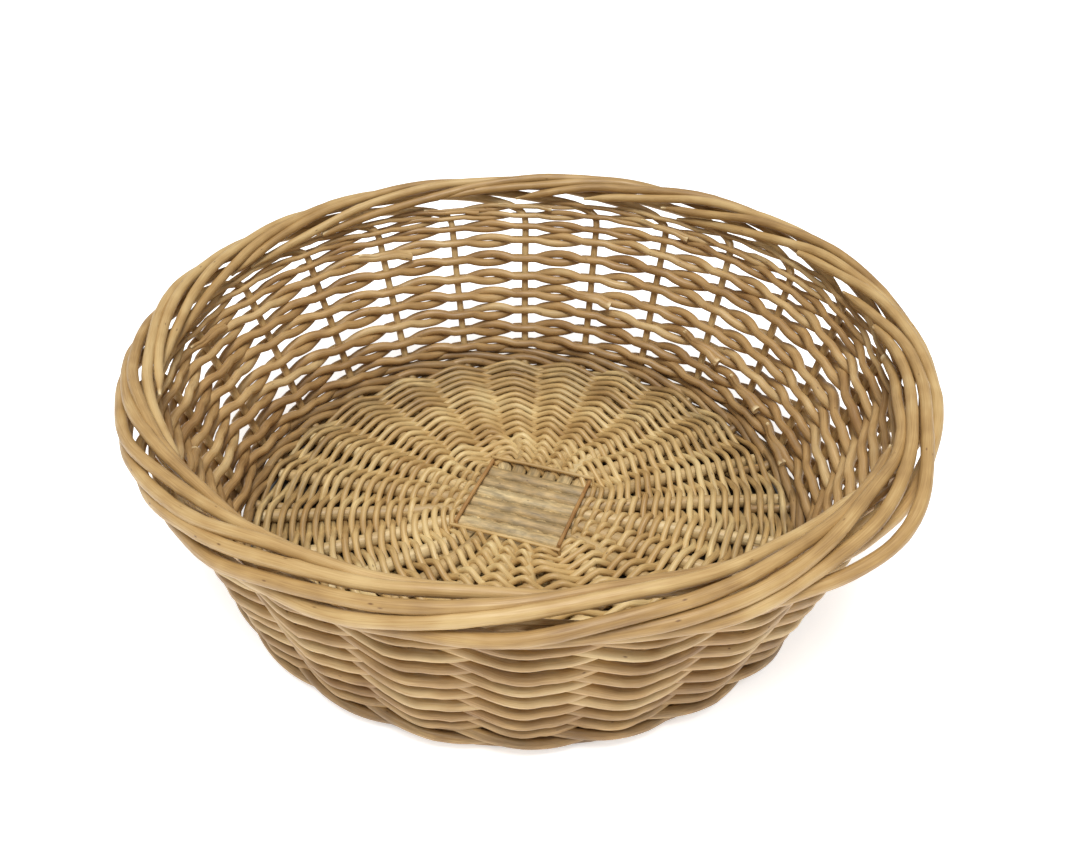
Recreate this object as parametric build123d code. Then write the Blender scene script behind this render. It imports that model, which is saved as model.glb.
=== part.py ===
from build123d import *
from math import asin, atan2, cos, degrees, pi, radians, sin, sqrt, tan
import os

# Round, open, flared willow basket, in millimetres. +Z is up, and the origin is the centre of
# the basket's foot, on the surface that it stands on. Every rod, stick and stake is its own
# solid. Weaving rods that pass in front of one stake and behind the next are drawn as two true
# rings, one on each side of the stakes, so nothing overlaps and every clearance is named.

# ---- driving dimensions -------------------------------------------------------------------
stake_count = 24  # one stake beside each end of the bottom sticks
rim_radius = 200.0  # centre line of the border
rim_height = 117.5  # centre line of the border above the floor
base_radius = 160.0  # where the stakes turn up

stake_diameter = 4.8
butt_reach = 28.5  # how far in from their turn the stakes' butts reach, between the weavers
upturn_bend_radius = 12.0  # inside the kink where a stake leaves the base
border_bend_radius = 8.0  # where a stake top bends over into the border
border_clearance = 1.1  # between rods that lie side by side in the border
border_core_radius = 9.0  # the border's rods lie on a circle of this radius in section
border_start_deg = -50.0  # section angle where a stake enters, from straight outwards
border_spaces = 5.5  # how many stake spacings a stake top runs along the rim
border_neck = 7.0  # height of the stakes' bend below the border's centre line

stick_diameter = 8.4
stick_pitch = 9.4  # between neighbouring sticks in the centre cross
stick_end_gap = 7.5  # from the sticks' ends to the turn of the stakes
stick_bend_radius = 30.0  # where the sticks fan out beyond the cross
stick_fan_radius = 78.0  # from here outwards the sticks point straight away from the centre
split_gap = 4.4  # slit in the split sticks
tongue_thickness = 3.8  # what is left of the through sticks inside the slit
butt_clearance = 0.5  # between a stick and the stake butt beside it
stake_clock_deg = 0.0  # where the first stake stands, from +X

tie_diameter = 2.2
tie_bend_radius = 3.0  # where a tie rod drops from one side of the cross to the other
weaver_diameter = 2.8
weaver_last_gap = 7.0  # from the last round's centre line to the turn of the stakes
weaver_rounds = 16
rounds_in_a_pair = 2  # rounds that one pair of base weavers makes before it is joined

siding_diameter = 4.4
siding_rows = 10
siding_first_rise = 14.0  # first row above the base plane, where it crosses the stakes
siding_last_drop = 4.5  # last row below the bend of the stakes into the border
siding_bulge = 0.087  # share of the wall by which the middle rows stand above even spacing
siding_skew = 1.67  # above 1 the widest spacing is below the middle of the wall

wale_diameter = 4.4
wale_rise = 5.7  # upper outside wale rod above the base plane, where it crosses the stakes
wale_inside_rise = 7.7
foot_diameter = 5.6
foot_flat = 0.5  # worn off the underside of the foot rod
foot_inset = 0.5  # foot rod's centre line, inside the turn of the stakes

rod_clearance = 0.3  # between rods that pass each other

# ---- heights and angles that follow ---------------------------------------------------------
spacing_deg = 360.0 / stake_count
stake_r = stake_diameter / 2
stick_r = stick_diameter / 2
weaver_r = weaver_diameter / 2
siding_r = siding_diameter / 2
wale_r = wale_diameter / 2
foot_r = foot_diameter / 2
tie_r = tie_diameter / 2

weave_depth = stick_r + rod_clearance + weaver_diameter
foot_depth = stake_r + rod_clearance + foot_diameter - foot_flat
base_plane = max(foot_depth, weave_depth + rod_clearance)  # centre plane of sticks and butts

border_step_deg = degrees(2 * atan2(stake_diameter + border_clearance, 2 * border_core_radius))
neck_height = rim_height - border_neck
siding_first_height = base_plane + siding_first_rise
siding_last_height = neck_height - siding_last_drop
stake_butt_radius = base_radius - butt_reach
stick_end_radius = base_radius - stick_end_gap
wall_lean = atan2(rim_height - base_plane, rim_radius - base_radius)  # above the horizontal


def wall_radius(height):
    """Radius of the stakes' centre line at a height."""
    return base_radius + (height - base_plane) / tan(wall_lean)


def on_wall(height, offset):
    """Radius and height of a point beside the stakes' line, offset outwards square to it."""
    return wall_radius(height) + offset * sin(wall_lean), height - offset * cos(wall_lean)


def around(radius, angle_deg, height):
    """A point in space from its radius, its angle from +X and its height."""
    angle = radians(angle_deg)
    return Vector(radius * cos(angle), radius * sin(angle), height)


def easy_bends(points, most):
    """A bend radius for each inner corner, as large as its runs allow, up to most."""
    radii = []
    for before, corner, after in zip(points, points[1:], points[2:]):
        turn = radians((corner - before).get_angle(after - corner))
        shorter = min((corner - before).length, (after - corner).length)
        radii.append(min(0.45 * shorter / tan(turn / 2), most))
    return radii


def rod(points, radii, diameter, close=False):
    """A round rod along straight runs joined by tangent bends."""
    path = FilletPolyline(*points, radius=radii, close=close).wire()
    section = Plane(origin=path @ 0, z_dir=path % 0) * Circle(diameter / 2)
    return sweep(section, path=path).solid()


def ring(radius, height, diameter):
    """A rod bent to a true ring about the basket's axis."""
    return Pos(0, 0, height) * Torus(radius, diameter / 2)


def block(low, high):
    """A box from its lowest to its highest corner."""
    size = [b - a for a, b in zip(low, high)]
    return Pos(*low) * Box(*size, align=Align.MIN)


# ---- stakes: butt in the base, upright in the wall, top laid down in the border ---------------
def make_stake():
    """The stake that stands at angle 0, with its top running along the rim."""
    points = [
        around(stake_butt_radius, 0, base_plane),
        around(base_radius, 0, base_plane),
        around(wall_radius(neck_height), 0, neck_height),
    ]
    for half_space in range(1, int(2 * border_spaces) + 1):
        spaces = half_space / 2
        turned = radians(border_start_deg + border_step_deg * (spaces - 0.5))
        radius = rim_radius + border_core_radius * cos(turned)
        height = rim_height + border_core_radius * sin(turned)
        points.append(around(radius, spaces * spacing_deg, height))
    bends = easy_bends(points, most=rim_radius)
    bends[0] = upturn_bend_radius
    bends[1] = border_bend_radius
    return rod(points, bends, stake_diameter)


# ---- the slath: six split sticks with six whole ones pushed through them -----------------------
sticks_each_way = stake_count // 4
cross_half = stick_pitch * (sticks_each_way - 1) / 2 + stick_r + 2 * rod_clearance


def make_stick(index):
    """One stick of the cross along X, straight in the middle and fanned out at its ends."""
    place = index - (sticks_each_way - 1) / 2
    offset = place * stick_pitch
    fan = around(stick_fan_radius, place * spacing_deg, base_plane)
    end = around(stick_end_radius, place * spacing_deg, base_plane)
    corner = Vector(cross_half, offset, base_plane)
    swing = radians((fan - corner).get_angle(Vector(1, 0, 0)))
    corner += Vector(stick_bend_radius * tan(swing / 2) + 2 * rod_clearance, 0, 0)
    right = [corner, fan, end]
    left = [Vector(-point.X, point.Y, point.Z) for point in reversed(right)]
    points = left + right
    return rod(points, easy_bends(points, stick_bend_radius), stick_diameter)


def across(low_height, high_height):
    """A slab over the whole centre cross between two heights from the sticks' centre plane."""
    low = (-cross_half, -stick_end_radius, base_plane + low_height)
    high = (cross_half, stick_end_radius, base_plane + high_height)
    return block(low, high)


def make_split_stick(index):
    """A stick along X with a slit for the whole sticks to pass through."""
    return (make_stick(index) - across(-split_gap / 2, split_gap / 2)).solid()


def make_through_stick(index):
    """A stick thinned to a tongue inside the cross, before it is turned to lie along Y."""
    above = across(tongue_thickness / 2, stick_diameter)
    below = across(-stick_diameter, -tongue_thickness / 2)
    return (make_stick(index) - above - below).solid()


def make_tie(reach):
    """A thin tie rod round the cross: over one pair of arms and under the other pair."""
    lift = stick_r + rod_clearance + tie_r
    turn_in = reach - tie_r
    points = []
    for quarter in range(4):
        level = base_plane + (lift if quarter % 2 == 0 else -lift)
        turn = Rot(0, 0, 90 * quarter)
        for side in (-turn_in, turn_in):
            points.append((turn * Pos(reach, side, level)).position)
    return rod(points, [tie_bend_radius] * len(points), tie_diameter, close=True)


first_reach = cross_half + rod_clearance + tie_r + tie_bend_radius * (sqrt(2) - 1)
second_reach = first_reach + tie_diameter + rod_clearance
tie_corner = second_reach * sqrt(2) - tie_bend_radius * (sqrt(2) - 1) + tie_r
weaver_first_radius = tie_corner + rod_clearance + weaver_r
weaver_last_radius = base_radius - weaver_last_gap


# ---- what is made, node by node --------------------------------------------------------------
def weaver_ring_radius(number):
    """Radius of one round of the base weave, from the middle outwards."""
    step = (weaver_last_radius - weaver_first_radius) / (weaver_rounds - 1)
    return weaver_first_radius + number * step


def make_base_weavers(first_round):
    """The rounds that one pair of weavers makes: a ring over and a ring under the sticks."""
    lift = stick_r + rod_clearance + weaver_r
    rings = []
    for number in range(first_round, min(first_round + rounds_in_a_pair, weaver_rounds)):
        for level in (base_plane + lift, base_plane - lift):
            rings.append(ring(weaver_ring_radius(number), level, weaver_diameter))
    return rings


def siding_height(row):
    """Height of a siding row on the stakes; the rows are packed closer near the border."""
    share = row / (siding_rows - 1)
    climb = siding_last_height - siding_first_height
    return siding_first_height + climb * (share + siding_bulge * sin(pi * share**siding_skew))


def ring_on_wall(height, side, diameter):
    """A ring that touches the stakes' outside (side 1) or inside (side -1) at a height."""
    radius, level = on_wall(height, side * (stake_r + rod_clearance + diameter / 2))
    return ring(radius, level, diameter)


def make_siding_row(row):
    """One row of pairing: a rod outside the stakes and a rod inside them."""
    return [ring_on_wall(siding_height(row), side, siding_diameter) for side in (1, -1)]


def make_upsett_wale():
    """Three heavier rods that lock the turn of the stakes: two outside and one inside."""
    reach = upturn_bend_radius + stake_r + rod_clearance + wale_r
    bend_centre = base_radius - upturn_bend_radius * tan(wall_lean / 2)
    low_radius = bend_centre + reach * cos(radians(45))
    low_height = base_plane + upturn_bend_radius - reach * sin(radians(45))
    return [
        ring_on_wall(base_plane + wale_rise, 1, wale_diameter),
        ring_on_wall(base_plane + wale_inside_rise, -1, wale_diameter),
        ring(low_radius, low_height, wale_diameter),
    ]


def make_foot_rod():
    """The rod that the basket stands on, worn flat underneath."""
    level = base_plane - stake_r - rod_clearance - foot_r
    whole = ring(base_radius - foot_inset, level, foot_diameter)
    reach = base_radius + foot_diameter
    floor = level - foot_r + foot_flat
    worn = block((-reach, -reach, floor - foot_diameter), (reach, reach, floor))
    return (whole - worn).solid()


nodes = {}

first_stake = make_stake()
for number in range(stake_count):
    turned = Rot(0, 0, stake_clock_deg + number * spacing_deg)
    nodes[f"stake_{number + 1:02d}"] = [turned * first_stake]

# Each stick ends just beside a stake's butt, and the cross lies halfway between two ends.
beside_deg = degrees(asin((stick_r + stake_r + butt_clearance) / stake_butt_radius))
cross_turn = stake_clock_deg + beside_deg - 1.5 * spacing_deg
for index in range(sticks_each_way):
    split = Rot(0, 0, cross_turn) * make_split_stick(index)
    through = Rot(0, 0, cross_turn + 90) * make_through_stick(index)
    nodes[f"split_bottom_stick_{index + 1}"] = [split]
    nodes[f"through_bottom_stick_{index + 1}"] = [through]

nodes["slath_tie_rod_1"] = [Rot(0, 0, cross_turn) * make_tie(first_reach)]
nodes["slath_tie_rod_2"] = [Rot(0, 0, cross_turn + 90) * make_tie(second_reach)]

for pair, first_round in enumerate(range(0, weaver_rounds, rounds_in_a_pair)):
    nodes[f"base_weavers_{pair + 1}"] = make_base_weavers(first_round)

nodes["upsett_wale"] = make_upsett_wale()
nodes["foot_rod"] = [make_foot_rod()]

for row in range(siding_rows):
    nodes[f"siding_row_{row + 1:02d}"] = make_siding_row(row)

os.makedirs("parts", exist_ok=True)
for name, solids in nodes.items():
    piece = solids[0] if len(solids) == 1 else Compound(children=solids)
    export_step(piece, f"parts/{name}.step")
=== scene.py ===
"""Looks for a round, open basket of peeled willow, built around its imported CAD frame.

Every rod, stick and stake of the basket is a mesh of its own. Each one is drawn as a curve along the
way that the rod takes through the weave, turned into a mesh, and then shaped by hand-sized unevenness.
"""

import logging
import math
import random
from dataclasses import dataclass
from enum import Enum
from functools import cached_property
from typing import Callable, Sequence

import bpy
import bmesh
import numpy as np
from mathutils import Euler, Matrix, Vector, noise


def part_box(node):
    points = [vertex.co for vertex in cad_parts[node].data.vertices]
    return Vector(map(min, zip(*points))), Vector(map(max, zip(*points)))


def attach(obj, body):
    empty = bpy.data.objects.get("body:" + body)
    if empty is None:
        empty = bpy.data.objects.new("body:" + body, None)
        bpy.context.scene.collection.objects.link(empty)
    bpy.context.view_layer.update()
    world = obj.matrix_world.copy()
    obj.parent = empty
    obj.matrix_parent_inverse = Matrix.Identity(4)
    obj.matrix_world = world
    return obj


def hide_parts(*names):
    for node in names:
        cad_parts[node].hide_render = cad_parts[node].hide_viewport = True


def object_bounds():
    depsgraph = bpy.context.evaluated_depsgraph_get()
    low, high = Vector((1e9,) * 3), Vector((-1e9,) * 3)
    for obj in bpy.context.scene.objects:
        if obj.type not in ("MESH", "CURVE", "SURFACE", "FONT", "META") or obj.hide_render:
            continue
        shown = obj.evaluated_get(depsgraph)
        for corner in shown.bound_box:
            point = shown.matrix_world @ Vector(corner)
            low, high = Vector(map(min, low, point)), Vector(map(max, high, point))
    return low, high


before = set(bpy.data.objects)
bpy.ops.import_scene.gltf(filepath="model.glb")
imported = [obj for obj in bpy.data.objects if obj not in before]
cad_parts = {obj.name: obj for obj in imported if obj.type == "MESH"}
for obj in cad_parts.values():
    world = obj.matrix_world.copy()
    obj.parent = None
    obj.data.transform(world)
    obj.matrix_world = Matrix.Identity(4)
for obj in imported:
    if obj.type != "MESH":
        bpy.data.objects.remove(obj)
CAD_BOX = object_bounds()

Tree = bpy.types.NodeTree
Socket = bpy.types.NodeSocket
LOG = logging.getLogger("willow_basket")
MM = 0.001
BODY = "root"
STAKES = 24
SPACING = 2 * math.pi / STAKES
WAVE_LENGTH = 14 * MM  # of a rod's unevenness
BUD_LENGTH = 2.2 * MM  # of the swelling at a bud scar
BUD_HEIGHT = 0.32 * MM


class Slot(Enum):
    """The record's material slots."""

    STAKE = "stake_willow"
    STICK = "stick_willow"
    TIE = "tie_willow"
    BASE_WEAVER = "base_weaver_willow"
    SIDING = "siding_willow"
    WALE = "wale_willow"


# ---- the basket's form ----
@dataclass(frozen=True)
class BasketForm:
    """Where the walls, base and rim of the basket run, in metres, read from the CAD frame.

    The maker's hand shows as a slow wave in the rim's radius and height, which dies away at the base.
    A wave is how often it goes round the rim, with its cosine and sine parts in millimetres.
    """

    stake_radius: float = 2.4 * MM
    border_thickness: float = 22.8 * MM
    foot_overhang: float = 2.3 * MM
    base_shift: float = -4 * MM
    rim_shift: float = 4 * MM
    radius_waves: tuple[tuple[int, float, float], ...] = ((1, -2.5, 0.0), (2, -1.9, -5.8), (3, 0.2, 1.9))
    height_waves: tuple[tuple[int, float, float], ...] = ((1, 7.1, -0.6), (2, -2.5, 0.8), (3, 0.0, 1.2))

    @cached_property
    def rim_height(self) -> float:
        """Finds the border's centre line.

        Returns:
            Its height.
        """
        return CAD_BOX[1][2] - self.border_thickness / 2

    @cached_property
    def rim_radius(self) -> float:
        """Finds the border's centre line.

        Returns:
            Its radius.
        """
        return CAD_BOX[1][0] - self.border_thickness / 2

    @cached_property
    def base_plane(self) -> float:
        """Finds the bottom sticks' centre plane.

        Returns:
            Its height.
        """
        low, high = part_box("split_bottom_stick_3")
        return (low.z + high.z) / 2

    @cached_property
    def base_radius(self) -> float:
        """Finds where the stakes turn up.

        Returns:
            The radius there.
        """
        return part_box("foot_rod")[1].x - self.foot_overhang

    @cached_property
    def lean(self) -> float:
        """Works out the wall's slope.

        Returns:
            Its angle above the horizontal.
        """
        return math.atan2(self.rim_height - self.base_plane, self.rim_radius - self.base_radius)

    def wave(self, angle: float, height: float) -> tuple[float, float]:
        """How far the wall stands off its true circle and level.

        Args:
            angle: where round the basket, in radians from +X.
            height: height above the floor.

        Returns:
            The shift in radius and the shift in height.
        """
        share = self.share(height)
        out = sum(c * math.cos(n * angle) + s * math.sin(n * angle) for n, c, s in self.radius_waves)
        up = sum(c * math.cos(n * angle) + s * math.sin(n * angle) for n, c, s in self.height_waves)
        return out * MM * share, up * MM * share

    def share(self, height: float) -> float:
        """How far up the wall a height is.

        Args:
            height: height above the floor.

        Returns:
            0 at the base, 1 at the rim.
        """
        return min(max((height - self.base_plane) / (self.rim_height - self.base_plane), 0.0), 1.0)

    def place(self, radius: float, angle: float, height: float) -> Vector:
        """A point from its radius, its angle from +X and its height; the base sits a little forward.

        Args:
            radius: distance from the basket's axis.
            angle: where round the basket, in radians from +X.
            height: height above the floor.

        Returns:
            The point in space.
        """
        shift = self.base_shift + (self.rim_shift - self.base_shift) * self.share(height)
        return Vector((radius * math.cos(angle), radius * math.sin(angle) + shift, height))

    def wall_radius(self, height: float) -> float:
        """Radius of the stakes' centre line at a height.

        Args:
            height: height above the floor.

        Returns:
            The radius there, on a true circle.
        """
        return self.base_radius + (height - self.base_plane) / math.tan(self.lean)

    def on_wall(self, angle: float, height: float, out: float = 0.0, up: float = 0.0) -> Vector:
        """A point on or beside the wall.

        Args:
            angle: where round the basket, in radians from +X.
            height: height of the row on the stakes.
            out: offset outwards, square to the wall.
            up: offset up along the wall.

        Returns:
            The point in space.
        """
        sine, cosine = math.sin(self.lean), math.cos(self.lean)
        radius = self.wall_radius(height) + out * sine + up * cosine
        level = height - out * cosine + up * sine
        shift_out, shift_up = self.wave(angle, height)
        return self.place(radius + shift_out, angle, level + shift_up)


def smooth(value: float, low: float, high: float) -> float:
    """A smooth step.

    Args:
        value: the value to judge.
        low: where the step starts.
        high: where it ends.

    Returns:
        0 up to low, 1 from high on, and an eased value between them.
    """
    share = min(max((value - low) / (high - low), 0.0), 1.0)
    return share * share * (3 - 2 * share)


# ---- rods ----
@dataclass
class Rod:
    """One willow rod: a curve through the weave that becomes an uneven round mesh.

    Args:
        name: the piece's name.
        points: the centre line.
        radii: the rod's radius at each point.
        slot: the material slot that it takes its finish from.
        closed: whether the rod is a whole ring.
        sides: how many sides its section has.
        seed: what its small unevenness is drawn from.
        tone: how dark the rod is, from -1, pale, to 1, dark.
        grime: how stained it is at a point, from 0 to 1.
        buds: spacing of the small bud scars along it.
        roughness: height of the lengthwise unevenness.
        squash: how much wider and flatter the rod is at each of its points.
        finish: the slot whose finish it wears, where that isn't its own.
    """

    name: str
    points: Sequence[Vector]
    radii: Sequence[float]
    slot: Slot
    closed: bool = False
    sides: int = 12
    seed: int = 0
    tone: float = 0.0
    grime: Callable[[Vector], float] = lambda point: 0.0
    buds: float = 45 * MM
    roughness: float = 0.12 * MM
    squash: Callable[[int], tuple[float, float]] | None = None
    finish: Slot | None = None

    def build(self) -> bpy.types.Object:
        """Draws the curve, turns it into a mesh and shapes it.

        Returns:
            The finished object, at the origin.
        """
        bpy.ops.object.select_all(action="DESELECT")
        bpy.ops.curve.primitive_nurbs_path_add()
        piece = bpy.context.object
        piece.name = self.name
        curve = piece.data
        curve.splines.clear()
        spline = curve.splines.new("POLY")
        spline.points.add(len(self.points) - 1)
        for knot, point, radius in zip(spline.points, self.points, self.radii):
            knot.co = (*point, 1.0)
            knot.radius = radius
        spline.use_cyclic_u = self.closed
        curve.dimensions = "3D"
        curve.twist_mode = "MINIMUM"
        curve.bevel_depth = 1.0
        curve.bevel_resolution = self.sides // 2 - 2
        curve.use_fill_caps = not self.closed
        bpy.ops.object.convert(target="MESH")
        piece = bpy.context.object
        piece.name = self.name
        piece.data.name = self.name
        self.shape(piece)
        self.close(piece)
        bpy.ops.object.shade_smooth_by_angle(angle=math.radians(50))
        return piece

    def swells(self, along: np.ndarray, offset: float, draw: random.Random) -> np.ndarray:
        """Works out how far each corner of the tube stands out, from long waves and bud scars.

        Args:
            along: how far along the rod each of its points is.
            offset: where in the noise this rod starts.
            draw: the source of the bud scars' places.

        Returns:
            The heights, with a row for each point and a column for each side.
        """
        bud_places = np.arange(draw.uniform(0.2, 1.0) * self.buds, along[-1], self.buds)
        bud_places = [bud + draw.uniform(-0.3, 0.3) * self.buds for bud in bud_places]
        bud_sides = [draw.uniform(0, 2 * math.pi) for _ in bud_places]
        turn = np.arange(self.sides) * 2 * math.pi / self.sides
        swells = np.empty((len(along), self.sides))
        for index, way in enumerate(along):
            for side in range(self.sides):
                spot = (math.cos(turn[side]), math.sin(turn[side]), way / WAVE_LENGTH + offset)
                swells[index, side] = noise.noise(Vector(spot)) * self.roughness
            for bud, bud_turn in zip(bud_places, bud_sides):
                near = (way - bud) / BUD_LENGTH
                if abs(near) < 3:
                    facing = np.maximum(np.cos(turn - bud_turn), 0.0) ** 3
                    swells[index] += BUD_HEIGHT * math.exp(-near * near) * (0.35 + facing)
        return swells

    def shape(self, piece: bpy.types.Object) -> None:
        """Gives the tube its unevenness, bud scars, lengths along it and tone.

        Args:
            piece: the tube, fresh from its curve.
        """
        mesh = piece.data
        count, sides = len(self.points), self.sides
        places = np.empty(len(mesh.vertices) * 3)
        mesh.vertices.foreach_get("co", places)
        places = places.reshape(-1, 3)
        extra = len(places) - count * sides  # the caps have corners of their own
        rings = places[extra:].reshape(count, sides, 3)
        centres = np.array([tuple(point) for point in self.points])
        steps = np.linalg.norm(np.diff(centres, axis=0), axis=1)
        along = np.concatenate([[0.0], np.cumsum(steps)])
        draw = random.Random(self.seed)
        offset = draw.uniform(0, 100)
        swells = self.swells(along, offset, draw)
        for index in range(count):
            spokes = rings[index] - centres[index]
            lengths = np.linalg.norm(spokes, axis=1, keepdims=True)
            reach = lengths + swells[index][:, None] * min(1.0, lengths.max() / MM)
            moved = spokes / np.maximum(lengths, 1e-9) * reach
            if self.squash:
                across, upright = self.squash(index)
                moved[:, :2] *= across
                moved[:, 2] *= upright
            rings[index] = centres[index] + moved
        if extra:
            places[:sides] = rings[-1]
            places[sides : 2 * sides] = rings[0]
        mesh.vertices.foreach_set("co", places.ravel())
        layer = mesh.uv_layers[0]
        layer.name = "along_rod"
        coords = np.empty(len(mesh.loops) * 2)
        layer.data.foreach_get("uv", coords)
        coords = coords.reshape(-1, 2)
        girth = 2 * math.pi * float(np.mean(self.radii))
        coords[:, 0] = coords[:, 0] * along[-1] + offset
        coords[:, 1] = coords[:, 1] * girth
        layer.data.foreach_set("uv", coords.ravel())
        stain = np.array([self.grime(Vector(c)) for c in centres])
        caps = [count - 1] * sides + [0] * sides if extra else []
        ring_of = np.array(caps + np.repeat(np.arange(count), sides).tolist(), int)
        cut = np.zeros(len(places))
        cut[:extra] = 1.0
        self.attribute(mesh, "tone", np.full(len(places), self.tone))
        self.attribute(mesh, "grime", stain[ring_of])
        self.attribute(mesh, "cut_end", cut)

    @staticmethod
    def attribute(mesh: bpy.types.Mesh, name: str, values: np.ndarray) -> None:
        """Writes one number for each corner point of a mesh.

        Args:
            mesh: the mesh.
            name: the attribute's name.
            values: the numbers.
        """
        layer = mesh.attributes.new(name, "FLOAT", "POINT")
        layer.data.foreach_set("value", values.astype(np.float32))

    @staticmethod
    def close(piece: bpy.types.Object) -> None:
        """Merges the caps to the tube and turns every face outwards.

        Args:
            piece: the shaped tube.
        """
        work = bmesh.new()
        work.from_mesh(piece.data)
        bmesh.ops.remove_doubles(work, verts=work.verts, dist=1e-7)
        bmesh.ops.recalc_face_normals(work, faces=work.faces)
        work.to_mesh(piece.data)
        work.free()


@dataclass
class Workshop:
    """Keeps the finishes and puts every finished piece into the frame."""

    finishes: dict[Slot, bpy.types.Material]
    made: int = 0

    def place(self, rod: Rod, *nodes: str) -> bpy.types.Object:
        """Builds a rod, dresses it and ties it to the CAD frame.

        Args:
            rod: the rod to build.
            nodes: the CAD nodes that it stands for.

        Returns:
            The finished piece.
        """
        piece = rod.build()
        piece.data.materials.clear()
        piece.data.materials.append(self.finishes[rod.finish or rod.slot])
        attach(piece, BODY)
        if nodes:
            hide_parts(*nodes)
        self.made += 1
        LOG.info("%s: %d faces", piece.name, len(piece.data.polygons))
        return piece


# ---- finishes ----
def linear(code: str) -> tuple[float, float, float, float]:
    """An sRGB hex colour as linear light.

    Args:
        code: such as "#D9BC86".

    Returns:
        Red, green, blue and alpha.
    """
    parts = [int(code[i : i + 2], 16) / 255 for i in (1, 3, 5)]
    light = [p / 12.92 if p <= 0.04045 else ((p + 0.055) / 1.055) ** 2.4 for p in parts]
    return (*light, 1.0)


def add(tree: Tree, kind: str, settings: dict | None = None, links: dict | None = None) -> bpy.types.Node:
    """Adds a shader node.

    Args:
        tree: the node tree.
        kind: the node's type.
        settings: its properties by name, or its inputs' values by input name.
        links: the sockets that feed its inputs, by input name or number.

    Returns:
        The new node.
    """
    node = tree.nodes.new(kind)
    for name, value in (settings or {}).items():
        if isinstance(name, str) and hasattr(node, name):
            setattr(node, name, value)
        else:
            node.inputs[name].default_value = value
    for name, socket in (links or {}).items():
        tree.links.new(socket, node.inputs[name])
    return node


def stored(tree: Tree, name: str) -> Socket:
    """Reads a number that is stored on the mesh.

    Args:
        tree: the node tree.
        name: the attribute's name.

    Returns:
        Its value.
    """
    return add(tree, "ShaderNodeAttribute", {"attribute_name": name}).outputs["Fac"]


def speckle(tree: Tree, along: Socket, stretch: tuple, detail: float, roughness: float) -> Socket:
    """Makes noise that is drawn out along the rod.

    Args:
        tree: the node tree.
        along: lengths along and round the rod.
        stretch: how many waves a metre holds, along and round.
        detail: how many finer layers it has.
        roughness: how strong those are.

    Returns:
        The noise.
    """
    scaled = add(tree, "ShaderNodeVectorMath", {"operation": "MULTIPLY", 1: stretch}, {0: along})
    grain = {"Scale": 1.0, "Detail": detail, "Roughness": roughness}
    return add(tree, "ShaderNodeTexNoise", grain, {"Vector": scaled.outputs[0]}).outputs["Fac"]


def weigh(tree: Tree, value: Socket, weight: float, rest: Socket | None = None) -> Socket:
    """Multiplies a value by a weight and adds the rest to it.

    Args:
        tree: the node tree.
        value: the value.
        weight: its weight.
        rest: what is added, or nothing.

    Returns:
        The sum.
    """
    links = {0: value} if rest is None else {0: value, 2: rest}
    settings = {"operation": "MULTIPLY_ADD", 1: weight, 2: 0.0}
    return add(tree, "ShaderNodeMath", settings, links).outputs[0]


def between(tree: Tree, value: Socket, old: tuple, new: tuple) -> Socket:
    """Moves a value from one range to another.

    Args:
        tree: the node tree.
        value: the value.
        old: the range that it comes from.
        new: the range that it goes to.

    Returns:
        The moved value.
    """
    ends = {"From Min": old[0], "From Max": old[1], "To Min": new[0], "To Max": new[1]}
    return add(tree, "ShaderNodeMapRange", ends, {"Value": value}).outputs["Result"]


def cover(tree: Tree, share: Socket, under: Socket, over: str) -> Socket:
    """Lays a flat colour over another.

    Args:
        tree: the node tree.
        share: how much of it shows.
        under: the colour beneath.
        over: the colour on top, in hex.

    Returns:
        The mixed colour.
    """
    settings = {"data_type": "RGBA", 7: linear(over)}
    return add(tree, "ShaderNodeMix", settings, {0: share, 6: under}).outputs[2]


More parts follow.
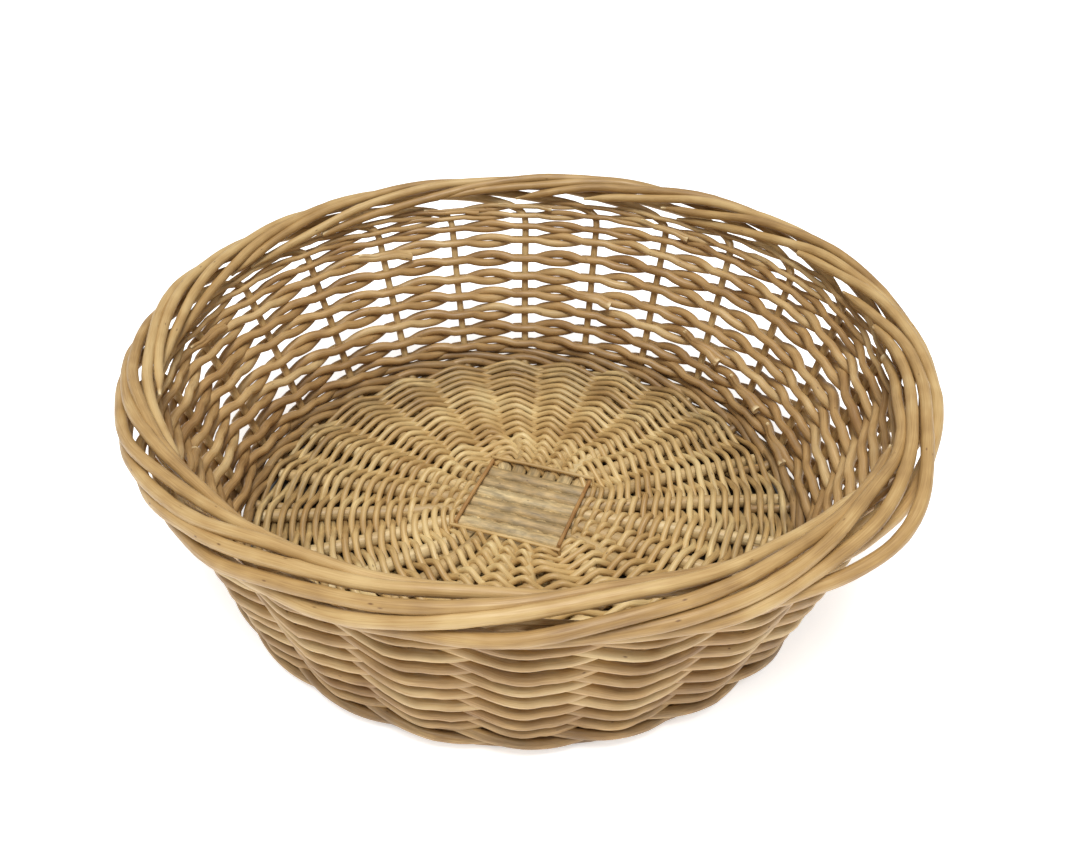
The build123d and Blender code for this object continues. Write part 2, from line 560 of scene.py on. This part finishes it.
@dataclass(frozen=True)
class PeeledWillow:
    """Peeled, boiled willow: a smooth, satin, buff wood with fine lengthwise streaks.

    The eye sees long pale and tan streaks, small brown bud scars, grey-brown grime in stained
    places and a paler, rougher face where a rod was cut.
    """

    name: str
    pale: str = "#C1A470"
    buff: str = "#AB8955"
    tan: str = "#866539"
    scar: str = "#5E3C1E"
    stain: str = "#6A5438"
    cut_face: str = "#E3CFA2"
    streak_width: float = 0.5 * MM
    streak_length: float = 16 * MM
    patch: float = 22 * MM
    scar_spacing: float = 13 * MM
    scar_turn: float = 5 * MM
    roughness: float = 0.46
    grime_noise: float = 9 * MM

    def material(self) -> bpy.types.Material:
        """Builds the shader.

        Returns:
            The finished material.
        """
        material = bpy.data.materials.new(self.name)
        material.use_nodes = True
        tree = material.node_tree
        tree.nodes.clear()
        along = add(tree, "ShaderNodeUVMap", {"uv_map": "along_rod"}).outputs["UV"]
        fibre = (1 / self.streak_length, 1 / self.streak_width, 1)
        streaks = speckle(tree, along, fibre, 3.0, 0.6)
        scars = self.scars(tree, along)
        colour = cover(tree, scars, self.wood(tree, streaks), self.scar)
        colour = cover(tree, self.dirt(tree, along), colour, self.stain)
        colour = cover(tree, stored(tree, "cut_end"), colour, self.cut_face)

        height = weigh(tree, scars, 0.5, streaks)
        relief = {"Strength": 0.35, "Distance": 0.12 * MM}
        bump = add(tree, "ShaderNodeBump", relief, {"Height": height}).outputs["Normal"]
        gloss = between(tree, streaks, (0.3, 0.7), (self.roughness - 0.08, self.roughness + 0.14))
        surface = {"Base Color": colour, "Roughness": gloss, "Normal": bump}
        shader = add(tree, "ShaderNodeBsdfPrincipled", {"IOR": 1.5}, surface).outputs["BSDF"]
        add(tree, "ShaderNodeOutputMaterial", None, {"Surface": shader})
        return material

    def wood(self, tree: Tree, streaks: Socket) -> Socket:
        """Colours the clean wood from pale to tan, by its streaks, its patches and the rod's own tone.

        Args:
            tree: the node tree.
            streaks: how dark the streaks are.

        Returns:
            The colour.
        """
        place = add(tree, "ShaderNodeTexCoord").outputs["Object"]
        blotch = {"Scale": 1 / self.patch, "Detail": 2.0}
        patches = add(tree, "ShaderNodeTexNoise", blotch, {"Vector": place}).outputs["Fac"]
        shade = weigh(tree, patches, 0.55, weigh(tree, streaks, 0.55))
        shade = weigh(tree, stored(tree, "tone"), 0.16, shade)
        ramp = add(tree, "ShaderNodeValToRGB", None, {"Fac": shade})
        stops = ramp.color_ramp.elements
        stops[0].position = 0.34
        stops[0].color = linear(self.pale)
        stops[1].position = 0.80
        stops[1].color = linear(self.tan)
        stops.new(0.55).color = linear(self.buff)
        return ramp.outputs["Color"]

    def scars(self, tree: Tree, along: Socket) -> Socket:
        """Scatters small bud scars along the rod.

        Args:
            tree: the node tree.
            along: lengths along and round the rod.

        Returns:
            How strong a scar is, from 0 to 1.
        """
        spread = {"operation": "MULTIPLY", 1: (1 / self.scar_spacing, 1 / self.scar_turn, 1)}
        spots = add(tree, "ShaderNodeVectorMath", spread, {0: along}).outputs[0]
        cells = {"Scale": 1.0, "Randomness": 1.0}
        reach = add(tree, "ShaderNodeTexVoronoi", cells, {"Vector": spots}).outputs["Distance"]
        return between(tree, reach, (0.03, 0.09), (0.85, 0.0))

    def dirt(self, tree: Tree, along: Socket) -> Socket:
        """Lays grime in drawn-out patches where a rod is marked as stained.

        Args:
            tree: the node tree.
            along: lengths along and round the rod.

        Returns:
            How strong the grime is, from 0 to 1.
        """
        drawn_out = (0.4 / self.grime_noise, 2.0 / self.grime_noise, 1)
        cloud = between(tree, speckle(tree, along, drawn_out, 4.0, 0.65), (0.35, 0.65), (0.0, 1.0))
        links = {0: cloud, 1: stored(tree, "grime")}
        return add(tree, "ShaderNodeMath", {"operation": "MULTIPLY"}, links).outputs[0]


# ---- siding ----
@dataclass
class Siding:
    """The open wall: rows of pairing, two rods that twist once between each two stakes."""

    form: BasketForm
    rows: int = 10
    thickest: float = 5.7 * MM
    fullness: float = 0.53
    tightness: float = 0.94
    points_per_space: int = 16
    overlap: float = 0.36
    top_gap: float = 8.8 * MM

    def heights(self) -> list[float]:
        """Reads the height of each row from the CAD rows, and stretches them up to the border.

        Returns:
            The heights, from the bottom row to the top.
        """
        found = []
        for row in range(self.rows):
            low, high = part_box(f"siding_row_{row + 1:02d}")
            found.append((low.z + high.z) / 2)
        squeeze = (self.form.rim_height - self.top_gap - found[-1]) / (found[-1] - found[0])
        return [height + (height - found[0]) * squeeze for height in found]

    @staticmethod
    def twist(place: float, strand: int) -> float:
        """How high a rod rides over its partner, from -1 to 1; they twist midway between stakes.

        Args:
            place: the place along the row, in stake spacings.
            strand: 0 or 1.

        Returns:
            The height, as a share of the rod's own rise.
        """
        space = math.floor(place)
        side = 1 if (space + strand) % 2 == 0 else -1
        off_middle = 1 - 2 * (place - space)
        return side * max(0.0, 1 - 2.5 * off_middle * off_middle) ** 0.8

    def rod(self, row: int, strand: int, heights: list[float]) -> Rod:
        """One rod of a row.

        Args:
            row: the row, from 0 at the bottom.
            strand: 0 or 1.
            heights: the rows' heights.

        Returns:
            The rod.
        """
        draw = random.Random(1000 + row * 7 + strand)
        below = heights[row] - heights[row - 1] if row else heights[1] - heights[0]
        above = heights[row + 1] - heights[row] if row + 1 < self.rows else below
        thickness = min(self.thickest, self.fullness * (below + above) / 2)
        start = draw.randrange(STAKES)
        start = start + ((start + strand) % 2)  # both ends lie inside the wall
        total = STAKES + 2 * self.overlap
        count = int(total * self.points_per_space)
        points, radii = [], []
        for index in range(count + 1):
            run = index / count * total - self.overlap
            place = start + run
            angle = place * SPACING
            phase = math.pi * (place + strand)
            twist = self.twist(place, strand)
            radius = thickness / 2 * (1.03 - 0.1 * (run / STAKES)) * (0.95 + 0.11 * abs(twist))
            swing = math.asin(0.93 * math.cos(phase)) / math.asin(0.93)
            out = -swing * (self.form.stake_radius + radius) * self.tightness
            up = twist * radius
            drift = noise.noise(Vector((math.cos(angle) * 2.2, math.sin(angle) * 2.2, row * 3.1)))
            wander = noise.noise(Vector((place * 0.9, row * 5.3, 0.5)))
            tuck = smooth(-run, -0.3, self.overlap) + smooth(run - STAKES, -0.3, self.overlap)
            side = -1 if run < STAKES / 2 else 1
            out -= tuck * radius * 0.9
            up += tuck * side * radius * 0.8
            level = heights[row] + (drift * 1.6 + wander * 0.7) * MM
            points.append(self.form.on_wall(angle, level, out, up))
            tip = smooth(STAKES + self.overlap - run, -0.05, 0.5)
            radii.append(radius * (0.45 + 0.55 * tip))
        return Rod(
            name=f"siding_row_{row + 1:02d}_rod_{strand + 1}",
            points=points,
            radii=radii,
            slot=Slot.SIDING,
            sides=10,
            seed=row * 2 + strand,
            tone=draw.uniform(-0.9, 0.9),
            grime=lambda point: 0.25 + 0.3 * smooth(-point.z, -0.05, -0.01),
        )

    def build(self, shop: Workshop) -> None:
        """Builds every row.

        Args:
            shop: the workshop that places them.
        """
        heights = self.heights()
        for row in range(self.rows):
            for strand in (0, 1):
                nodes = (f"siding_row_{row + 1:02d}",) if strand == 0 else ()
                shop.place(self.rod(row, strand, heights), *nodes)


# ---- stakes and border ----
BEND_OVER = range(44, 58)  # a stake's points on either side of where it bends into the border


@dataclass
class Stakes:
    """The stakes: butts in the base, a kink, uprights in the wall and tops in the border."""

    form: BasketForm
    butt_reach: float = 28.5 * MM
    bend: float = 12 * MM
    neck: float = 7.0 * MM
    core: float = 8.8 * MM
    border_rod: float = 3.0 * MM
    start_deg: float = -58.0
    step_deg: float = 43.0
    spaces: float = 6.3
    stray: int = 19
    stray_reach: float = 9 * MM

    def upright(self, angle: float) -> list[tuple[Vector, float]]:
        """Runs the stake from its butt, round the kink and up the wall.

        Args:
            angle: where the stake stands.

        Returns:
            Its points and radii.
        """
        form = self.form
        reach = self.bend * math.tan(form.lean / 2)
        way = []
        butt = form.base_radius - self.butt_reach
        for share in np.linspace(0, 1, 8):
            radius = butt + share * (form.base_radius - reach - butt)
            way.append((form.place(radius, angle, form.base_plane), form.stake_radius * 1.1))
        centre = form.base_radius - reach
        for share in np.linspace(0, 1, 9)[1:]:
            turned = share * form.lean
            radius = centre + self.bend * math.sin(turned)
            level = form.base_plane + self.bend * (1 - math.cos(turned))
            thick = form.stake_radius * (1.1 + 0.15 * math.sin(math.pi * share))
            way.append((form.place(radius, angle, level), thick))
        low = form.base_plane + self.bend * (1 - math.cos(form.lean))
        top = form.rim_height - self.neck
        for share in np.linspace(0, 1, 34)[1:]:
            level = low + share * (top - low)
            lean = 0.8 * MM * noise.noise(Vector((angle * 9, share * 2.0, 1.7)))
            sway = 0.9 * MM * noise.noise(Vector((angle * 7, share * 1.5, 5.1)))
            point = form.on_wall(angle + sway / form.rim_radius, level, lean)
            way.append((point, form.stake_radius * (1.0 - 0.06 * share)))
        return way

    def top(self, angle: float, draw: random.Random, stray: bool) -> list[tuple[Vector, float]]:
        """Lays the stake's top along the border.

        Args:
            angle: where the stake stands.
            draw: the source of its unevenness.
            stray: whether it is the one that stands away from the rest.

        Returns:
            Its points and radii.
        """
        form = self.form
        way = []
        spaces = self.spaces + draw.uniform(-0.7, 0.6)
        start = self.start_deg + draw.uniform(-8, 8)
        pointed = draw.random() < 0.6
        tip = 0.3 if pointed else 0.85
        whole = 0.7 if pointed else 0.15
        count = 64
        for index in range(count + 1):
            run = 0.42 + (spaces - 0.42) * index / count
            here = angle + run * SPACING
            turned = start + self.step_deg * (run - 0.5)
            turned += 22 * noise.noise(Vector((here * 3.0, angle * 5, 2.2)))
            core = self.core * (1 + 0.24 * noise.noise(Vector((here * 4.0, angle * 3, 8.2))))
            if stray:
                core += self.stray_reach * math.exp(-(((run - 1.9) / 0.8) ** 2))
            shift_out, shift_up = form.wave(here, form.rim_height)
            radius = form.rim_radius + shift_out + core * math.cos(math.radians(turned))
            level = form.rim_height + shift_up + core * math.sin(math.radians(turned))
            thick = self.border_rod * (1.04 - 0.22 * (run / spaces) ** 1.5)
            thick *= tip + whole * smooth(spaces - run, -0.02, 0.35)
            way.append((form.place(radius, here, level), thick))
        return way

    def rod(self, number: int) -> Rod:
        """One whole stake.

        Args:
            number: the stake, from 0 on +X.

        Returns:
            The rod.
        """
        draw = random.Random(4000 + number)
        angle = number * SPACING
        way = self.upright(angle) + self.top(angle, draw, number == self.stray)
        way = self.soften(way)
        return Rod(
            name=f"stake_{number + 1:02d}_rod",
            points=[point for point, _ in way],
            radii=[radius for _, radius in way],
            slot=Slot.STAKE,
            sides=14,
            seed=300 + number,
            tone=draw.uniform(-0.8, 0.6),
            grime=lambda point: 0.9 * smooth(-point.z, -0.03, -0.012),
            buds=60 * MM,
            roughness=0.22 * MM,
        )

    @staticmethod
    def soften(way: list[tuple[Vector, float]]) -> list[tuple[Vector, float]]:
        """Rounds the line where the upright bends over, and spaces its points evenly.

        Args:
            way: the points and radii of the whole stake.

        Returns:
            The same, with the bend rounded.
        """
        points = [point.copy() for point, _ in way]
        radii = [radius for _, radius in way]
        for _ in range(6):
            for index in BEND_OVER:
                points[index] = (points[index - 1] + points[index + 1]) / 4 + points[index] / 2
                radii[index] = (radii[index - 1] + radii[index + 1]) / 4 + radii[index] / 2
        return list(zip(points, radii))

    def build(self, shop: Workshop) -> None:
        """Builds every stake.

        Args:
            shop: the workshop that places them.
        """
        for number in range(STAKES):
            shop.place(self.rod(number), f"stake_{number + 1:02d}")


# ---- slath: the cross of bottom sticks ----
@dataclass
class Slath:
    """Six split sticks with six whole ones through them, fanned out to twenty-four ends."""

    form: BasketForm
    each_way: int = 6
    pitch: float = 9.4 * MM
    stick_radius: float = 4.2 * MM
    half: float = 28.5 * MM
    bend_at: float = 37 * MM
    fan_radius: float = 78 * MM
    end_gap: float = 7.5 * MM
    turn: float = math.radians(3.1 - 22.5)
    tie_reaches: tuple[float, float] = (30.9 * MM, 33.4 * MM)
    tie_gap: float = 0.3 * MM
    tie_seat: float = 1.1 * MM
    tie_radius: float = 1.15 * MM

    @property
    def end_radius(self) -> float:
        """Works out how far the sticks reach.

        Returns:
            The radius of their ends.
        """
        return self.form.base_radius - self.end_gap

    def line(self, place: float) -> list[Vector]:
        """Draws the centre line of a stick along X, with eased bends.

        Args:
            place: which stick, counted from the middle of the six.

        Returns:
            The points, from one end to the other.
        """
        offset = place * self.pitch
        fan = place * SPACING
        knots = [
            (0.0, offset),
            (self.half, offset),
            (self.bend_at, offset * 1.005),
            (self.fan_radius * math.cos(fan), self.fan_radius * math.sin(fan)),
            (self.end_radius * math.cos(fan), self.end_radius * math.sin(fan)),
        ]
        right = []
        for step in range(49):
            want = self.end_radius * math.cos(fan) * step / 48
            for (x0, y0), (x1, y1) in zip(knots, knots[1:]):
                if want <= x1 + 1e-9:
                    right.append(Vector((want, y0 + (y1 - y0) * (want - x0) / (x1 - x0), 0)))
                    break
        for _ in range(10):
            for index in range(1, len(right) - 1):
                right[index].y = (right[index - 1].y + right[index + 1].y) / 4 + right[index].y / 2
        left = [Vector((-p.x, p.y, 0)) for p in reversed(right[1:])]
        return left + right

    def stick(self, index: int, through: bool) -> Rod:
        """One stick.

        Args:
            index: the stick, from 0 to 5.
            through: whether it is one of the whole sticks.

        Returns:
            The rod.
        """
        place = index - (self.each_way - 1) / 2
        turn = self.turn + (math.pi / 2 if through else 0)
        line = self.line(place)
        draw = random.Random(700 + index + 20 * through)
        points, radii, squashes = [], [], []
        for point in line:
            here = self.form.place(point.length, turn + math.atan2(point.y, point.x), self.form.base_plane)
            points.append(here)
            share = here.length / self.end_radius
            radii.append(self.stick_radius * (1.02 - 0.14 * share))
            inside = 1 - smooth(abs(point.x), self.half, self.half + 9 * MM)
            squashes.append((1 + 0.08 * inside, 1 - (0.55 if through else 0.0) * inside))
        return Rod(
            name=("through" if through else "split") + f"_bottom_stick_{index + 1}_rod",
            points=points,
            radii=radii,
            slot=Slot.STICK,
            sides=16,
            seed=500 + index + 20 * through,
            tone=draw.uniform(-0.8, 0.8),
            grime=lambda point: 0.75 - 0.45 * smooth(point.length, 0.03, 0.05),
            buds=90 * MM,
            roughness=0.5 * MM,
            squash=lambda i: squashes[i],
        )

    def tie(self, number: int) -> Rod:
        """A thin tie rod round the cross, over two arms and under the other two.

        Args:
            number: 0 for the inner tie and 1 for the outer.

        Returns:
            The rod.
        """
        reach = self.tie_reaches[number]
        lift = self.stick_radius + self.tie_gap + self.tie_seat
        turn = self.turn + number * math.pi / 2
        corner = reach - 1.3 * MM
        points = []
        for quarter in range(4):
            level = lift if quarter % 2 == 0 else -lift
            for share in np.linspace(-1, 1, 15):
                angle = turn + quarter * math.pi / 2 + math.atan2(share * corner, reach)
                height = self.form.base_plane + level * (0.97 + 0.03 * math.cos(share * math.pi))
                points.append(self.form.place(math.hypot(reach, share * corner), angle, height))
        return Rod(
            name=f"slath_tie_rod_{number + 1}_rod",
            points=points,
            radii=[self.tie_radius] * len(points),
            slot=Slot.TIE,
            closed=True,
            sides=10,
            seed=800 + number,
            tone=0.4 - 0.4 * number,
            finish=Slot.BASE_WEAVER if number else None,
            grime=lambda point: 0.3,
        )

    def build(self, shop: Workshop) -> None:
        """Builds the sticks and their ties.

        Args:
            shop: the workshop that places them.
        """
        for index in range(self.each_way):
            shop.place(self.stick(index, False), f"split_bottom_stick_{index + 1}")
            shop.place(self.stick(index, True), f"through_bottom_stick_{index + 1}")
        for number in (0, 1):
            shop.place(self.tie(number), f"slath_tie_rod_{number + 1}")


# ---- base weave ----
@dataclass
class BaseWeave:
    """The woven base: rounds of pairing with fine rods over and under every stick."""

    form: BasketForm
    slath: Slath
    inner: tuple[float, float] = (38 * MM, 44.5 * MM)
    rounds: int = 16
    first: float = 51 * MM
    last_gap: float = 7.0 * MM
    thickness: float = 3.9 * MM
    inner_share: float = 0.86
    points_per_space: int = 10
    lift: float = 5.3 * MM
    wander: float = 1.2 * MM
    jog: float = 0.6 * MM

    def radii(self) -> list[float]:
        """Works out the mean radius of every round.

        Returns:
            The radii, from the middle outwards.
        """
        step = (self.form.base_radius - self.last_gap - self.first) / (self.rounds - 1)
        return list(self.inner) + [self.first + step * number for number in range(self.rounds)]

    def crossing(self, stick: int, radius: float) -> tuple[float, float]:
        """Where a round crosses a stick, as an angle and a radius.

        Args:
            stick: the stick end, counted round the basket.
            radius: the round's mean radius.

        Returns:
            The angle in the slath's own frame and the radius there.
        """
        arm, place = divmod(stick, 6)
        offset = (place - 2.5) * self.slath.pitch
        fan = (place - 2.5) * SPACING
        square = 1 - smooth(radius, 36 * MM, 66 * MM)
        opened = smooth(radius, self.slath.bend_at, self.slath.fan_radius)
        lateral = offset + (radius * math.sin(fan) - offset) * max(opened, smooth(radius, 34 * MM, 78 * MM))
        straight = math.sqrt(max(radius * radius - lateral * lateral, 0))
        ahead = straight + (radius * 0.94 - straight) * square
        return arm * math.pi / 2 + math.atan2(lateral, ahead), math.hypot(lateral, ahead)

    def rod(self, number: int, strand: int, radius: float) -> Rod:
        """One rod of one round.

        Args:
            number: the round, from the middle outwards.
            strand: 0 or 1.
            radius: the round's mean radius.

        Returns:
            The rod.
        """
        draw = random.Random(2000 + number * 3 + strand)
        crossings = [self.crossing(stick % STAKES, radius) for stick in range(STAKES)]
        angles = [a for a, _ in crossings]
        angles = [angles[-1] - 2 * math.pi] + angles + [angles[0] + 2 * math.pi, angles[1] + 2 * math.pi]
        reaches = [r for _, r in crossings]
        reaches = [reaches[-1]] + reaches + [reaches[0], reaches[1]]
        fine = self.thickness * (self.inner_share if radius < self.first else 1.0)
        steps = self.points_per_space
        points, thick = [], []
        for step in range(STAKES * steps):
            space, part = divmod(step, steps)
            share = part / steps
            angle = spline(angles[space : space + 4], share)
            reach = spline(reaches[space : space + 4], share)
            place = space + share
            phase = math.pi * (place + strand)
            swing = math.asin(0.96 * math.cos(phase)) / math.asin(0.96)
            out = math.sin(phase) * fine * 0.5
            wander = noise.noise(Vector((place * 0.8, number * 4.1, strand * 3.3)))
            reach += out + wander * self.wander
            jog = noise.noise(Vector((place * 1.3, number * 2.9, 7.7 + strand)))
            level = self.form.base_plane + swing * self.lift + jog * self.jog
            points.append(self.form.place(reach, angle + self.slath.turn, level))
            thick.append(fine / 2 * (1 + 0.12 * noise.noise(Vector((place * 0.5, number, strand)))))
        return Rod(
            name=f"base_round_{number + 1:02d}_rod_{strand + 1}",
            points=points,
            radii=thick,
            slot=Slot.BASE_WEAVER,
            closed=True,
            sides=8,
            seed=900 + number * 2 + strand,
            tone=draw.uniform(-0.8, 0.8),
            grime=lambda point: 0.15 + 0.6 * smooth(point.length, 0.08, 0.155),
            buds=38 * MM,
        )

    def build(self, shop: Workshop) -> None:
        """Builds every round; each pair of outer rounds stands for one CAD node.

        Args:
            shop: the workshop that places them.
        """
        for number, radius in enumerate(self.radii()):
            outer = number - len(self.inner)
            for strand in (0, 1):
                first = outer >= 0 and outer % 2 == 0 and strand == 0
                nodes = (f"base_weavers_{outer // 2 + 1}",) if first else ()
                shop.place(self.rod(number, strand, radius), *nodes)


def spline(values: Sequence[float], share: float) -> float:
    """A smooth value between the second and third of four values.

    Args:
        values: four values in a row.
        share: how far from the second to the third, from 0 to 1.

    Returns:
        The value there.
    """
    a, b, c, d = values
    return b + 0.5 * share * (c - a + share * (2 * a - 5 * b + 4 * c - d + share * (3 * (b - c) + d - a)))


# ---- upsett and foot ----
@dataclass
class Upsett:
    """The three-rod wale round the turn of the stakes, and the rod that the basket stands on."""

    form: BasketForm
    thickness: float = 5.2 * MM
    wale_height: float = 13.4 * MM
    wale_rise: float = 3.9 * MM
    edge_gap: float = 1.6 * MM
    edge_lift: float = 1.2 * MM
    foot_radius: float = 2.6 * MM
    foot_clearance: float = 0.5 * MM
    points_per_space: int = 12

    def wale(self, strand: int) -> Rod:
        """One strand of the wale: in front of two stakes and behind the third.

        Args:
            strand: 0, 1 or 2.

        Returns:
            The rod.
        """
        points = []
        steps = self.points_per_space
        for step in range(STAKES * steps):
            place = step / steps
            phase = 2 * math.pi * (place + strand) / 3
            out = (0.25 + 0.95 * math.cos(phase)) * (self.form.stake_radius + self.thickness / 2)
            up = -math.sin(phase) * self.wale_rise
            points.append(self.form.on_wall(place * SPACING, self.wale_height, out, up))
        return Rod(
            name=f"upsett_wale_rod_{strand + 1}",
            points=points,
            radii=[self.thickness / 2] * len(points),
            slot=Slot.WALE,
            closed=True,
            sides=12,
            seed=1200 + strand,
            tone=0.3 * strand - 0.2,
            grime=lambda point: 0.7,
        )

    def edge(self, strand: int) -> Rod:
        """One of the two thick rods that close the base against the turn of the stakes.

        Args:
            strand: 0 or 1.

        Returns:
            The rod.
        """
        points = []
        steps = self.points_per_space
        radius = self.thickness * 0.48
        for step in range(STAKES * steps):
            place = step / steps
            phase = math.pi * (place + strand)
            ripple = noise.noise(Vector((place * 0.8, strand * 3.1, 4.4)))
            reach = self.form.base_radius - self.edge_gap + (1.5 * math.sin(phase) + ripple) * MM
            rise = math.cos(phase) * (self.form.stake_radius + radius)
            level = self.form.base_plane + self.edge_lift + rise
            points.append(self.form.place(reach, place * SPACING, level))
        return Rod(
            name=f"base_edge_rod_{strand + 1}",
            points=points,
            radii=[radius] * len(points),
            slot=Slot.WALE,
            closed=True,
            sides=12,
            seed=1250 + strand,
            tone=0.2 - 0.5 * strand,
            grime=lambda point: 0.6,
        )

    def foot(self) -> Rod:
        """The rod that the basket stands on.

        Returns:
            The rod.
        """
        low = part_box("foot_rod")[0]
        radius = self.foot_radius
        points = []
        for step in range(STAKES * 8):
            angle = step / 8 * SPACING
            ripple = 0.35 * MM * noise.noise(Vector((math.cos(angle) * 4, math.sin(angle) * 4, 0)))
            level = low.z + radius + self.foot_clearance
            points.append(self.form.place(self.form.base_radius + ripple, angle, level))
        return Rod(
            name="foot_rod_round",
            points=points,
            radii=[radius] * len(points),
            slot=Slot.WALE,
            closed=True,
            sides=14,
            seed=1300,
            tone=0.5,
            grime=lambda point: 0.8,
        )

    def build(self, shop: Workshop) -> None:
        """Builds the wale, the base edge and the foot rod.

        Args:
            shop: the workshop that places them.
        """
        for strand in range(3):
            nodes = ("upsett_wale",) if strand == 0 else ()
            shop.place(self.wale(strand), *nodes)
        for strand in range(2):
            shop.place(self.edge(strand))
        shop.place(self.foot(), "foot_rod")


# ---- studio ----
@dataclass
class Studio:
    """A plain pale floor with a painted shadow under the basket, soft light and the camera."""

    form: BasketForm
    back: float = 0.4490
    above_rim: float = 0.2686
    pitch_deg: float = 36.08
    pan_deg: float = 0.575
    roll_deg: float = 0.572
    lens: float = 33.43
    # colour of the painted shadow on the floor under the foot
    shaded: str = "#5C5346"
    card: str = "#FFFFFF"
    glow: float = 0.55
    softbox_size: float = 0.6
    room_light: float = 0.5

    def camera(self) -> None:
        """Puts the camera in front of the basket, looking down into it."""
        bpy.ops.object.camera_add(location=(0.0, -self.back, self.form.rim_height + self.above_rim))
        camera = bpy.context.object
        aim = Euler((math.radians(90 - self.pitch_deg), 0, math.radians(-self.pan_deg))).to_matrix()
        camera.rotation_euler = (aim @ Matrix.Rotation(math.radians(self.roll_deg), 3, "Z")).to_euler()
        camera.data.sensor_width = 36.0
        camera.data.lens = self.lens
        bpy.context.scene.camera = camera

    def floor(self) -> None:
        """Lays a wide floor: pale card that glows a little, with a painted shadow under the foot, where it
        turns dark and stops glowing.
        """
        bpy.ops.mesh.primitive_plane_add(size=14, location=(0, 0, 0))
        floor = bpy.context.object
        floor.name = "floor"
        material = bpy.data.materials.new("pale_floor")
        material.use_nodes = True
        tree = material.node_tree
        shader = tree.nodes["Principled BSDF"]
        place = add(tree, "ShaderNodeTexCoord").outputs["Object"]
        reach = add(tree, "ShaderNodeVectorMath", {"operation": "LENGTH"}, {0: place}).outputs["Value"]
        foot = self.form.base_radius
        # painted shadow: just inside the foot the floor takes the dark shaded colour and no glow, then
        # turns to glowing pale card outwards
        lit = {"From Min": foot - 4 * MM, "From Max": foot + 7 * MM, "To Min": 0.0, "To Max": 1.0}
        glow = add(tree, "ShaderNodeMapRange", lit, {"Value": reach}).outputs["Result"]
        shades = {"data_type": "RGBA", 6: linear(self.shaded), 7: linear(self.card)}
        shade = add(tree, "ShaderNodeMix", shades, {0: glow})
        tree.links.new(shade.outputs[2], shader.inputs["Base Color"])
        part = add(tree, "ShaderNodeMath", {"operation": "MULTIPLY", 1: self.glow}, {0: glow})
        tree.links.new(part.outputs[0], shader.inputs["Emission Strength"])
        shader.inputs["Roughness"].default_value = 0.9
        shader.inputs["Emission Color"].default_value = (1, 1, 1, 1)
        floor.data.materials.append(material)

    def light(self, name: str, place: tuple[float, float, float], power: float) -> None:
        """Hangs a square soft light that faces the basket.

        Args:
            name: the light's name.
            place: where it hangs.
            power: its power in watts.
        """
        bpy.ops.object.light_add(type="AREA", location=place)
        lamp = bpy.context.object
        lamp.name = name
        lamp.data.size = self.softbox_size
        lamp.data.energy = power
        aim = Vector((0, 0, 0.05)) - Vector(place)
        lamp.rotation_euler = aim.to_track_quat("-Z", "Y").to_euler()

    def build(self) -> None:
        """Builds the studio."""
        bpy.ops.object.select_all(action="DESELECT")
        self.floor()
        self.camera()
        self.light("key_softbox", (-0.05, -0.65, 1.5), 19)
        self.light("top_softbox", (0.1, 0.1, 1.6), 5)
        world = bpy.data.worlds.new("white_room")
        bpy.context.scene.world = world
        world.use_nodes = True
        room = world.node_tree.nodes["Background"]
        room.inputs["Color"].default_value = (1, 1, 1, 1)
        room.inputs["Strength"].default_value = self.room_light
        bpy.context.scene.view_settings.view_transform = "Standard"


def finishes() -> dict[Slot, bpy.types.Material]:
    """Makes the finish of every kind of rod.

    Returns:
        The material that each slot wears.
    """
    looks = {
        # willow boiled in its bark and peeled, then darkened by handling: stakes and border
        Slot.STAKE: PeeledWillow("peeled_willow_stake"),
        # the same willow in thinner rods, a little paler: the open wall
        Slot.SIDING: PeeledWillow("peeled_willow_siding", pale="#CFB27E", buff="#B7935E", tan="#8E693C"),
        # the finest and palest peeled rods: the woven base
        Slot.BASE_WEAVER: PeeledWillow("peeled_willow_base", pale="#E0C78F", buff="#C6A56B", tan="#9C7743"),
        # peeled rods that stand near the ground and have browned: wale, base edge and foot
        Slot.WALE: PeeledWillow("peeled_willow_wale", pale="#C6A772", buff="#A58251", tan="#7E5D34"),
        # thick peeled sticks, weathered grey between their fibres: the cross in the base
        Slot.STICK: PeeledWillow(
            "weathered_willow_stick",
            pale="#DCC491",
            buff="#C6A873",
            tan="#A28455",
            stain="#6B5E45",
            grime_noise=5 * MM,
        ),
        # a thin rod of browner willow: the tie round the cross
        Slot.TIE: PeeledWillow("brown_willow_tie", pale="#D2B27C", buff="#B58A52", tan="#8F6232"),
    }
    return {slot: look.material() for slot, look in looks.items()}


def main() -> None:
    logging.basicConfig(level=logging.INFO, format="%(name)s: %(message)s")
    form = BasketForm()
    Studio(form).build()
    shop = Workshop(finishes())
    slath = Slath(form)
    slath.build(shop)
    BaseWeave(form, slath).build(shop)
    Upsett(form).build(shop)
    Siding(form).build(shop)
    Stakes(form).build(shop)
    LOG.info("%d pieces", shop.made)


if __name__ == "__main__":
    main()
